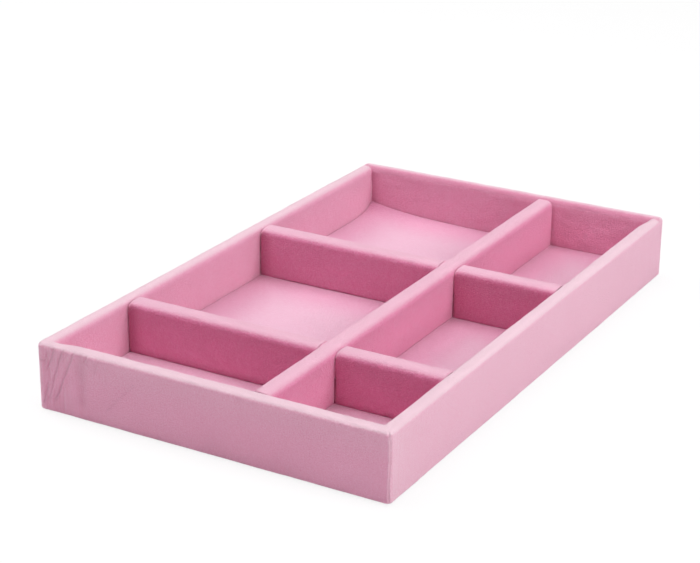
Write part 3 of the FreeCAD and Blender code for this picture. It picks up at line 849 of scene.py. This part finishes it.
def divider_sleeve(name, blocks, s, seed, settle, tips=0.0):
    """An open sleeve of velvet round a divider that is made of overlapping blocks.

    Settle takes the points and their normals, moves points where the sleeve meets another, and gives the
    painted shade. Tips is how much painted sheen the whole sleeve gets.
    """
    step = 0.85
    points, normals, faces = rounded_blocks(blocks, step)
    low, high = np.min([b[0] for b in blocks], axis=0), np.max([b[1] for b in blocks], axis=0)
    across = int(np.argmin(high[:2] - low[:2]))
    near, far = low[across], high[across]
    middle_line = (near + far) / 2
    turned_under = points[:, 2] < low[2] + s.divider_foot
    rounded = (near, near + blocks[0][2][across], far - blocks[0][3][across], far)
    drawn_in = (near, near + s.divider_tuck, far - s.divider_tuck, far)
    points[turned_under, across] = np.interp(points[turned_under, across], rounded, drawn_in)

    def bare(middle):
        return (middle[:, 2] < low[2] + 0.01) & (np.abs(middle[:, across] - middle_line) < s.bare_strip / 2)

    points, normals, faces = leave_open(points, normals, faces, bare)
    relief = s.nap * (0.7 * lumps(points, 9.0, seed) + 0.5 * lumps(points, 4.0, seed + 1))
    relief += s.nap * 0.35 * lumps(points, 2.2, seed + 2)
    # Painted sheen on the top, rising with the upward part of the normal; the same value sets where the top
    # waves.
    edge = ramp(normals[:, 2], 0.3, 0.98)
    top_waves = 0.10
    relief += top_waves * edge * lumps(points, 13.0, seed + 3)
    # Painted light over the top of each end face, where it stands in shade.
    endward, height = np.abs(normals[:, 1 - across]), points[:, 2]
    end_painted_light = ramp(endward, 0.5, 0.9) * ramp(height, high[2] - 3.5, high[2] - 0.5)
    edge = np.maximum.reduce([edge, 0.8 * end_painted_light, tips + 0 * edge])
    painted_shade = settle(points, normals)
    points = points + normals * relief[:, None]
    made = add_object(name, points, faces, {"edge": edge, "brush": 0 * edge, "painted_shade": painted_shade})
    return thicken(made, s.velvet)


def lower_end(points, axis, end, inward, radius, lap, top):
    """Rounds the top corner of a sleeve off towards one end."""
    along = np.clip((points[:, axis] - end) * inward, 0.0, radius)
    drop = radius - np.sqrt(radius ** 2 - (radius - along) ** 2)
    reached = (points[:, axis] - end) * inward > -0.01
    points[:, 2] -= drop * reached * ramp(points[:, 2], lap, top)


def meet_rim(points, axis, end, outward, radius):
    """Spreads the pile at the top of an end out over the rounded rim of the wall that it stands against."""
    filled_share = 0.95
    near = ramp((points[:, axis] - end) * outward, -1.5, 0.0)
    over = np.clip(points[:, 2] - WALL_HIGH[2] + radius, 0.0, filled_share * radius)
    gap = radius - np.sqrt(radius ** 2 - over ** 2)
    points[:, axis] += outward * filled_share * near * gap


def settle_long(points, s, crosses, left, top):
    """Presses the long sleeve's left shoulder out to the cross dividers' tops, so that the piles meet."""
    meet_rim(points, 1, points[:, 1].min(), -1, s.rim_tight)
    x, y, z = points.T.copy()
    crown, back = s.divider_crown, s.divider_back
    across = (left + back - x) / back
    upward = (z - top) / crown + 1.0
    shoulder = (across > 0) & (upward > 0)
    to_corner = np.where(shoulder, 1.0 / np.maximum(np.maximum(across, upward), 0.1) - 1.0, 0.0)
    beside = 0 * x
    for low, high in crosses.values():
        beside += ramp(y, low[1], low[1] + crown) * ramp(-y, -high[1], back - high[1])
    grown = 1.0 + beside * to_corner
    points[shoulder, 0] = (left + back - back * across * grown)[shoulder]
    points[shoulder, 2] = (top - crown + crown * upward * grown)[shoulder]
    return 0 * x


def settle_cross(points, normals, s, right_end, lap, top, depth, foot):
    """Fits a cross sleeve to the long divider that stands in its notch.

    Each part starts with a rounded top corner on its left, and the long divider presses an upright line into
    the velvet below its right side, which is painted darker as well. Painted shade darkens the faces beside
    the left ends of both parts and past the notch, by the given depth all over the right part, and by the
    value of foot along the floor.
    """
    x, z = points[:, 0].copy(), points[:, 2].copy()
    left_end = x.min()
    lower_end(points, 0, left_end, 1, s.end_drop, lap, top)
    lower_end(points, 0, right_end, 1, s.end_drop, lap, top)
    meet_rim(points, 0, x.max(), 1, s.rim_tight)
    line_width, line_start = 0.3, 0.6
    pressed = bell(x - right_end, line_width) * ramp(-z, -lap - line_start, -lap)
    points -= normals * (s.parting_depth * pressed * (np.abs(normals[:, 1]) > 0.7))[:, None]
    # Painted shade on the faces: at the left ends, past the notch, over the right part and along the foot.
    face = ramp(np.abs(normals[:, 1]), 0.6, 0.95)
    left_share, left_width, foot_width = 0.25, 5.5, 2.4
    deep = np.maximum(bell(x - left_end, left_width), left_share * depth)
    past_notch = np.maximum(x - right_end, 0.0)
    deep = np.maximum(deep, (depth + 0.3 * np.exp(-past_notch / 5.0)) * (x > right_end - 0.2))
    deep = np.maximum(deep, foot * bell(z - z.min(), foot_width))
    return np.maximum(0.8 * pressed, face * deep)


# Painted shade over the right part of a cross divider's faces and along its foot, and painted sheen all over
# it.
CROSS_SHADE_AND_SHEEN = {"front": (0.1, 0.7, 0.0), "rear": (0.45, 0.3, 0.12)}
# Radius at the sides and the top of a halving notch, where the velvet is cut.
CUT_ROUND = 0.12


class TRAY_OT_divider_velvet(bpy.types.Operator):
    """Covers the long divider and the two cross dividers with sleeves of velvet"""

    bl_idname = "jewelry_tray.divider_velvet"
    bl_label = "Divider velvet"

    def execute(self, context):
        s = sizes_in_mm(context)
        colours = context.scene.tray_colours
        material = velvet_material("Divider velvet, short pile", colours.divider_velvet, colours.divider_sheen_colour)
        long_low, long_high = node_box("long_divider_velvet")
        crosses = {name: node_box(name + "_cross_velvet") for name in ("front", "rear")}
        lap = (long_low[2] + long_high[2]) / 2
        play, crown, back, r = s.notch_play, s.divider_crown, s.divider_back, s.divider_round
        foot, notch, end = s.divider_foot, s.notch_round, s.end_round
        rise = np.array((0.0, 0.0, s.divider_rise))

        x0, y0, z0 = long_low - np.array((0.0, s.end_reach, 0.0))
        x1, y1, z1 = long_high + rise
        blocks = [((x0, y0, lap), (x1, y1, z1), (back, end, CUT_ROUND), (crown, r, crown))]
        starts = [(y0, end)] + [(high[1] + play, CUT_ROUND) for low, high in crosses.values()]
        ends = [(low[1] - play, CUT_ROUND) for low, high in crosses.values()] + [(y1, r)]
        for (start, start_round), (stop, stop_round) in zip(starts, ends):
            low_round, high_round = (back, start_round, foot), (crown, stop_round, crown)
            blocks.append(((x0, start, z0), (x1, stop, z1), low_round, high_round))
        made = divider_sleeve("long_divider_sleeve", blocks, s, 11,
                              lambda points, normals: settle_long(points, s, crosses, x0, z1))
        finish_piece(made, material, "long_divider", "divider_velvet", "long_divider_velvet")

        left_end, right_end = x0 - play, x1 + play
        reach = np.array((s.end_reach, 0.0, 0.0))
        for number, (name, (low, high)) in enumerate(crosses.items()):
            low, high = low - reach, high + reach
            top = high + rise
            blocks = [
                (low, (high[0], high[1], lap), (end, crown, foot), (end, back, CUT_ROUND)),
                (low, (left_end, high[1], top[2]), (end, crown, foot), (s.notch_edge, back, crown)),
                ((right_end, low[1], low[2]), top, (notch, crown, foot), (end, back, crown)),
            ]
            depth, shade, tips = CROSS_SHADE_AND_SHEEN[name]

            def settle(points, normals):
                return settle_cross(points, normals, s, right_end, lap, z1, depth, shade)

            made = divider_sleeve(name + "_cross_sleeve", blocks, s, 21 + 10 * number, settle, tips)
            finish_piece(made, material, "cross_dividers", "divider_velvet", name + "_cross_velvet")
        return {"FINISHED"}


class TRAY_OT_lining(bpy.types.Operator):
    """Glues a felted lining under the base"""

    bl_idname = "jewelry_tray.lining"
    bl_label = "Underside lining"

    def execute(self, context):
        even, step, puff = (0.2,) * 3, 2.5, 0.06
        points, normals, faces = rounded_blocks([(LINING_LOW, LINING_HIGH, even, even)], step)
        upper = ramp(points[:, 2], LINING_LOW[2], LINING_HIGH[2])
        points[:, 2] += puff * (1 - upper) * (1 + lumps(points, 9.0, 41))
        made = add_object("underside_lining", points, faces)
        material = felt_material("Felted lining", context.scene.tray_colours.lining)
        finish_piece(made, material, "tray", "lining", "underside_cover")
        return {"FINISHED"}


# Loose fibres along the edges


def fibre_tree():
    """Nodes that grow thin loose fibres from a surface, as many as its edge attribute asks for."""
    tree = bpy.data.node_groups.new("Loose pile fibres", "GeometryNodeTree")
    kinds = {"Velvet": "Geometry", "Density": "Float", "Length": "Float", "Width": "Float", "Seed": "Int",
             "Material": "Material"}
    for name, kind in kinds.items():
        tree.interface.new_socket(name, in_out="INPUT", socket_type="NodeSocket" + kind)
    tree.interface.new_socket("Fibres", in_out="OUTPUT", socket_type="NodeSocketGeometry")
    given = add_node(tree, "NodeGroupInput").outputs
    edge = add_node(tree, "GeometryNodeInputNamedAttribute", {"Name": "edge"}, data_type="FLOAT")
    density = maths(tree, "MULTIPLY", given["Density"], edge.outputs[0])
    roots = add_node(tree, "GeometryNodeDistributePointsOnFaces",
                     {"Mesh": given["Velvet"], "Density": density, "Seed": given["Seed"]})
    fibre = add_node(tree, "GeometryNodeMeshCone",
                     {"Vertices": 3, "Side Segments": 1, "Radius Top": 0.0, "Radius Bottom": given["Width"],
                      "Depth": given["Length"]}, fill_type="NONE")
    lean = add_node(tree, "FunctionNodeRandomValue",
                    {"Seed": given["Seed"], "Min": (-0.9, -0.9, -3.1), "Max": (0.9, 0.9, 3.1)},
                    data_type="FLOAT_VECTOR")
    turned = add_node(tree, "FunctionNodeRotateRotation",
                      {"Rotation": roots.outputs["Rotation"], "Rotate By": lean.outputs[0]},
                      rotation_space="LOCAL")
    tall = add_node(tree, "FunctionNodeRandomValue", {"Seed": given["Seed"], 2: 0.35, 3: 1.0},
                    data_type="FLOAT")
    grown = add_node(tree, "GeometryNodeInstanceOnPoints",
                     {"Points": roots.outputs["Points"], "Instance": fibre.outputs["Mesh"],
                      "Rotation": turned.outputs[0], "Scale": tall.outputs[1]})
    real = add_node(tree, "GeometryNodeRealizeInstances", {"Geometry": grown.outputs[0]})
    coloured = add_node(tree, "GeometryNodeSetMaterial",
                        {"Geometry": real.outputs[0], "Material": given["Material"]})
    add_node(tree, "NodeGroupOutput", {"Fibres": coloured.outputs[0]})
    return tree


class TRAY_OT_loose_fibres(bpy.types.Operator):
    """Grows loose fibres along the rim and the tops of the dividers"""

    bl_idname = "jewelry_tray.loose_fibres"
    bl_label = "Loose fibres"

    def execute(self, context):
        group = context.scene.tray_sizes
        colours = context.scene.tray_colours
        tree = fibre_tree()
        named = {i.name: i.identifier for i in tree.interface.items_tree if i.in_out == "INPUT"}
        cross_sleeves = ("front_cross_sleeve", "rear_cross_sleeve")
        grown_from = (
            ("tray", ("wall_velvet_strip",), "wall_velvet", colours.wall_sheen_colour),
            ("cross_dividers", cross_sleeves, "divider_velvet", colours.divider_sheen_colour),
            ("long_divider", ("long_divider_sleeve",), "divider_velvet", colours.divider_sheen_colour),
        )
        for body, sources, slot, base in grown_from:
            points, faces, edge = [], [], []
            for source in sources:
                mesh = context.scene.objects[source].data
                offset = len(points)
                points += [v.co / MM for v in mesh.vertices]
                faces += [[offset + i for i in p.vertices] for p in mesh.polygons]
                edge += [d.value for d in mesh.attributes["edge"].data]
            made = add_object(body + "_loose_fibres", [tuple(p) for p in points], faces, {"edge": edge})
            material = fibre_material("Loose fibres of " + body.replace("_", " "), base)
            modifier = made.modifiers.new("Loose pile fibres", "NODES")
            modifier.node_group = tree
            modifier[named["Density"]] = group.fibre_density / MM ** 2
            modifier[named["Length"]] = group.fibre_length
            modifier[named["Width"]] = group.fibre_width
            modifier[named["Seed"]] = group.fibre_seed
            modifier[named["Material"]] = material
            bake(made)
            finish_piece(made, material, body, slot)
        return {"FINISHED"}


class TRAY_OT_boards(bpy.types.Operator):
    """Gives the boards, cards and pins inside the tray their materials"""

    bl_idname = "jewelry_tray.boards"
    bl_label = "Boards and pins"

    def execute(self, context):
        colours = context.scene.tray_colours
        materials = {
            "fibreboard": board_material("Fibreboard, raw", colours.fibreboard, 1.2, 0.22),
            "divider_core": board_material("Divider fibreboard, raw", colours.divider_core, 1.2, 0.22),
            "card": board_material("Grey board, recycled", colours.card, 0.9, 0.14),
            "pin_steel": wire_material("Steel wire, drawn", colours.steel),
        }
        for part in frame["record"]["subparts"]:
            if part["material_slot"] in materials:
                mesh = frame["nodes"][part["node"]].data
                mesh.materials.clear()
                mesh.materials.append(materials[part["material_slot"]])
        return {"FINISHED"}


# Stage: floor, light and camera


def seen_directly(tree):
    """1 for what the camera sees, also in a mirror or through glass, and 0 for light on the tray."""
    path = add_node(tree, "ShaderNodeLightPath").outputs
    seen = maths(tree, "MAXIMUM", path["Is Camera Ray"], path["Is Glossy Ray"])
    return maths(tree, "MAXIMUM", seen, path["Is Transmission Ray"])


def paper_material(name, base):
    """Wide white studio paper, lit evenly enough to look white, that keeps a faint shadow of the tray."""
    material = bpy.data.materials.new(name)
    material.use_nodes = True
    tree = material.node_tree
    tree.nodes.clear()
    white_share = 0.85
    share = maths(tree, "MULTIPLY", seen_directly(tree), white_share)
    matt = add_node(tree, "ShaderNodeBsdfDiffuse", {"Color": base})
    white = add_node(tree, "ShaderNodeEmission", {"Strength": 1.0})
    mixed = add_node(tree, "ShaderNodeMixShader", {0: share, 1: matt.outputs[0], 2: white.outputs[0]})
    add_node(tree, "ShaderNodeOutputMaterial", {"Surface": mixed.outputs[0]})
    return material


# Soft boxes: name, power in watts, width and depth in metres, and place in metres.
SOFT_BOXES = (
    ("overhead_soft_box", 25.8, 1.6, 1.6, (0.0, 0.0, 1.6)),
    ("left_soft_box", 12.4, 1.0, 0.8, (-1.2, 0.0, 1.1)),
    ("right_soft_box", 14.7, 1.0, 0.8, (1.4, 0.0, 0.8)),
    ("low_front_card", 0.6, 1.6, 0.2, (0.0, -1.4, 0.12)),
)
ROOM_LIGHT = 0.02


class TRAY_OT_stage(bpy.types.Operator):
    """Adds the floor, the soft boxes, the room light and the camera"""

    bl_idname = "jewelry_tray.stage"
    bl_label = "Stage"

    def execute(self, context):
        scene = context.scene
        reach, drop = 4000.0, -0.1
        signs = ((-1, -1), (1, -1), (1, 1), (-1, 1))
        corners = [(x * reach, y * reach, drop) for x, y in signs]
        floor = add_object("studio_floor", corners, [(0, 1, 2, 3)])
        floor.data.materials.append(paper_material("Studio paper, matt white", scene.tray_colours.paper))
        for name, power, wide, deep, place in SOFT_BOXES:
            lamp = bpy.data.lights.new(name, "AREA")
            lamp.shape = "RECTANGLE"
            lamp.energy, lamp.size, lamp.size_y = power, wide, deep
            hung = bpy.data.objects.new(name, lamp)
            hung.location = place
            hung.rotation_euler = (-Vector(place)).to_track_quat("-Z", "Y").to_euler()
            scene.collection.objects.link(hung)
        self.light_room(scene)
        self.place_camera(scene)
        scene.view_settings.view_transform = "Standard"
        return {"FINISHED"}

    def light_room(self, scene):
        """A dim even room, white where the camera sees it."""
        scene.world = bpy.data.worlds.new("Studio room")
        scene.world.use_nodes = True
        tree = scene.world.node_tree
        tree.nodes.clear()
        dim, white = (add_node(tree, "ShaderNodeBackground", {"Color": (1, 1, 1, 1), "Strength": strength})
                      for strength in (ROOM_LIGHT, 1.0))
        mixed = add_node(tree, "ShaderNodeMixShader",
                         {0: seen_directly(tree), 1: dim.outputs[0], 2: white.outputs[0]})
        add_node(tree, "ShaderNodeOutputWorld", {"Surface": mixed.outputs[0]})

    def place_camera(self, scene):
        """A long lens from the front right, turned and tilted as in the photograph."""
        azimuth, elevation, roll = (math.radians(a) for a in (29.747, 21.754, 0.45))
        away, aside, raised = 0.93293, -0.01294, 0.02691
        back = Vector((math.sin(azimuth) * math.cos(elevation), -math.cos(azimuth) * math.cos(elevation),
                       math.sin(elevation)))
        right = Vector((math.cos(azimuth), math.sin(azimuth), 0.0))
        up = back.cross(right)
        across = math.cos(roll) * right + math.sin(roll) * up
        upward = -math.sin(roll) * right + math.cos(roll) * up
        place = away * back + aside * across + raised * upward
        data = bpy.data.cameras.new("photo_camera")
        data.sensor_fit = "HORIZONTAL"
        data.sensor_width = 36.0
        data.lens = 97.4
        data.clip_start, data.clip_end = 0.05, 50.0
        camera = bpy.data.objects.new("photo_camera", data)
        camera.matrix_world = Matrix((
            (across.x, upward.x, back.x, place.x),
            (across.y, upward.y, back.y, place.y),
            (across.z, upward.z, back.z, place.z),
            (0.0, 0.0, 0.0, 1.0),
        ))
        scene.collection.objects.link(camera)
        scene.camera = camera


OPERATORS = (
    TRAY_OT_boards,
    TRAY_OT_wall_velvet,
    TRAY_OT_floor_velvet,
    TRAY_OT_divider_velvet,
    TRAY_OT_lining,
    TRAY_OT_loose_fibres,
    TRAY_OT_stage,
)


class TRAY_PT_panel(bpy.types.Panel):
    """Sizes, colours and steps of the tray"""

    bl_idname = "TRAY_PT_panel"
    bl_label = "Jewelry tray"
    bl_space_type = "VIEW_3D"
    bl_region_type = "UI"
    bl_category = "Tray"

    def draw(self, context):
        """Lists the sizes, the colours and the steps."""
        scene = context.scene
        for group, kind in ((scene.tray_sizes, TraySizes), (scene.tray_colours, TrayColours)):
            box = self.layout.box()
            for name in kind.__annotations__:
                box.prop(group, name)
        for operator in OPERATORS:
            self.layout.operator(operator.bl_idname)


CLASSES = (TraySizes, TrayColours) + OPERATORS + (TRAY_PT_panel,)


def register():
    """Adds the tray's classes and its settings to the program."""
    for kind in CLASSES:
        bpy.utils.register_class(kind)
    bpy.types.Scene.tray_sizes = PointerProperty(type=TraySizes)
    bpy.types.Scene.tray_colours = PointerProperty(type=TrayColours)


def unregister():
    """Takes the tray's settings and classes away again."""
    del bpy.types.Scene.tray_colours
    del bpy.types.Scene.tray_sizes
    for kind in reversed(CLASSES):
        bpy.utils.unregister_class(kind)


def main():
    """Runs every step in order."""
    register()
    for operator in OPERATORS:
        group, name = operator.bl_idname.split(".")
        getattr(getattr(bpy.ops, group), name)()


if __name__ == "__main__":
    main()
